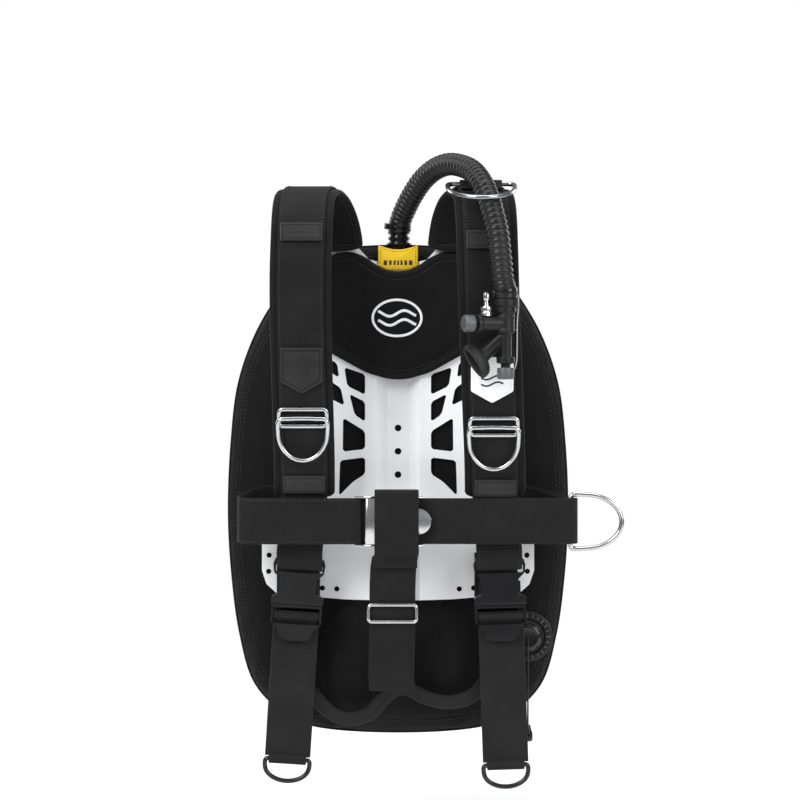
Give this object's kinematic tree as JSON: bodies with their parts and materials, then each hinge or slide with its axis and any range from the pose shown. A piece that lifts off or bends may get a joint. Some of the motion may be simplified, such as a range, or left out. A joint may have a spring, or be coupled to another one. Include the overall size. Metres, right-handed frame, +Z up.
{
  "type": "buoyancy compensator vest",
  "caption": "Backplate and wing buoyancy compensator with padded harness, waist belt, crotch strap, corrugated inflator hose, dump valve and cylinder bands",
  "frame": {"origin": "centre of the tank seat pad's rear face, where the cylinder lies", "axes": "+X to the wearer's left, +Y backwards to the cylinder, +Z up; the harness faces -Y"},
  "size_m": [0.4354, 0.3743, 0.6967],
  "materials": {
    "plate": "satin white powder coat on aluminium sheet",
    "cloth": "black woven nylon, matt",
    "bladder": "heat-welded coated nylon bladder, inside the cover",
    "padding": "black spacer fabric over foam, piped edges",
    "webbing": "black ribbed polyester webbing",
    "steel": "polished stainless steel",
    "plastic": "black moulded acetal, satin",
    "rubber": "black moulded rubber",
    "badge": "white moulded rubber",
    "button": "grey moulded plastic",
    "yellow": "yellow woven tape with a plain printed pattern",
    "hose": "black corrugated rubber",
    "cord": "black braided cord"
  },
  "bodies": {
    "root": {"backplate": "plate", "wing_cover": "cloth", "wing_bladder": "bladder", "tank_seat_pad": "rubber", "tank_band_upper": "webbing", "cam_buckle_frame_upper": "steel", "tank_band_lower": "webbing", "cam_buckle_frame_lower": "steel", "yoke_pad": "cloth", "elbow_flap": "yellow", "shoulder_pad_right": "padding", "shoulder_webbing_right": "webbing", "shoulder_pad_left": "padding", "shoulder_webbing_left": "webbing", "upper_patch_right": "rubber", "lower_patch_right": "rubber", "badge_right": "rubber", "upper_patch_left": "rubber", "lower_patch_left": "rubber", "badge_left": "badge", "chest_keeper_right": "steel", "chest_keeper_left": "steel", "shoulder_ring_keeper": "webbing", "waist_belt_right": "webbing", "waist_belt_left": "webbing", "waist_buckle_frame": "steel", "crotch_loop": "webbing", "crotch_strap": "webbing", "crotch_leg_straps": "webbing", "buckle_socket_right": "plastic", "anchor_webbing_right": "webbing", "buckle_socket_left": "plastic", "anchor_webbing_left": "webbing", "elbow": "plastic", "corrugated_hose": "hose", "inflator_body": "plastic", "inflator_nipple": "steel", "mouthpiece": "rubber", "dump_valve_base": "plastic", "dump_valve_cap": "plastic"},
    "waist_lever": {"waist_buckle_lever": "steel"},
    "chest_ring_right": {"chest_ring_right": "steel"},
    "chest_ring_left": {"chest_ring_left": "steel"},
    "shoulder_ring": {"shoulder_ring": "steel"},
    "hip_ring": {"hip_ring": "steel"},
    "crotch_slider": {"crotch_slider": "steel"},
    "inflate_button": {"inflate_button": "button"},
    "deflate_button": {"deflate_button": "button"},
    "dump_pull": {"dump_cord": "cord", "dump_toggle": "plastic"},
    "plug_right": {"buckle_plug_right": "plastic", "pull_strap_right": "webbing"},
    "plug_left": {"buckle_plug_left": "plastic", "pull_strap_left": "webbing"},
    "pull_ring_right": {"pull_ring_right": "plastic"},
    "pull_ring_left": {"pull_ring_left": "plastic"},
    "cam_lever_upper": {"cam_buckle_lever_upper": "steel"},
    "cam_lever_lower": {"cam_buckle_lever_lower": "steel"}
  },
  "joints": [
    {"name": "waist_lever_hinge", "type": "hinge", "parent": "root", "child": "waist_lever", "pos_m": [-0.033, -0.10195, -0.0745], "axis": [0, 0, -1], "range_deg": [0, 5]},
    {"name": "chest_ring_right_swing", "type": "hinge", "parent": "root", "child": "chest_ring_right", "pos_m": [-0.10288, -0.1171, 0.03676], "axis": [-1, 0, 0], "range_deg": [0, 100]},
    {"name": "chest_ring_left_swing", "type": "hinge", "parent": "root", "child": "chest_ring_left", "pos_m": [0.10368, -0.11506, 0.02714], "axis": [-1, 0, 0], "range_deg": [0, 100]},
    {"name": "shoulder_ring_swing", "type": "hinge", "parent": "root", "child": "shoulder_ring", "pos_m": [0.09019, -0.09131, 0.29223], "axis": [1, 0, 0], "range_deg": [-4, 1]},
    {"name": "hip_ring_swing", "type": "hinge", "parent": "root", "child": "hip_ring", "pos_m": [0.1875, -0.083, -0.0755], "axis": [0, 0, 1], "range_deg": [-70, 70]},
    {"name": "crotch_slider_slide", "type": "slide", "parent": "root", "child": "crotch_slider", "axis": [0, -0.0995, 0.995], "range_m": [-0.012, 0.012]},
    {"name": "inflate_button_press", "type": "slide", "parent": "root", "child": "inflate_button", "axis": [0.9394, 0.3429, 0], "range_m": [0, 0.003], "stiffness_N_per_m": 900, "springref_m": -0.0005},
    {"name": "deflate_button_press", "type": "slide", "parent": "root", "child": "deflate_button", "axis": [0, 0, 1], "range_m": [0, 0.004], "stiffness_N_per_m": 900, "springref_m": -0.0005},
    {"name": "dump_valve_pull", "type": "slide", "parent": "root", "child": "dump_pull", "axis": [0, 0, -1], "range_m": [0, 0.006], "stiffness_N_per_m": 500, "springref_m": -0.0005},
    {"name": "buckle_right_release", "type": "slide", "parent": "root", "child": "plug_right", "axis": [-0.0628, 0, -0.998], "range_m": [0, 0.045]},
    {"name": "pull_ring_right_swing", "type": "hinge", "parent": "plug_right", "child": "pull_ring_right", "pos_m": [-0.12133, -0.0682, -0.33677], "axis": [0.998, 0, -0.0628], "range_deg": [-70, 70]},
    {"name": "buckle_left_release", "type": "slide", "parent": "root", "child": "plug_left", "axis": [0.0332, 0, -0.9995], "range_m": [0, 0.045]},
    {"name": "pull_ring_left_swing", "type": "hinge", "parent": "plug_left", "child": "pull_ring_left", "pos_m": [0.1182, -0.0682, -0.34308], "axis": [0.9995, 0, 0.0332], "range_deg": [-70, 70]},
    {"name": "cam_lever_upper_hinge", "type": "hinge", "parent": "root", "child": "cam_lever_upper", "pos_m": [-0.024, 0.1994, 0.085], "axis": [0, 0, 1], "range_deg": [0, 120]},
    {"name": "cam_lever_lower_hinge", "type": "hinge", "parent": "root", "child": "cam_lever_lower", "pos_m": [-0.024, 0.1994, -0.085], "axis": [0, 0, 1], "range_deg": [0, 120]}
  ]
}
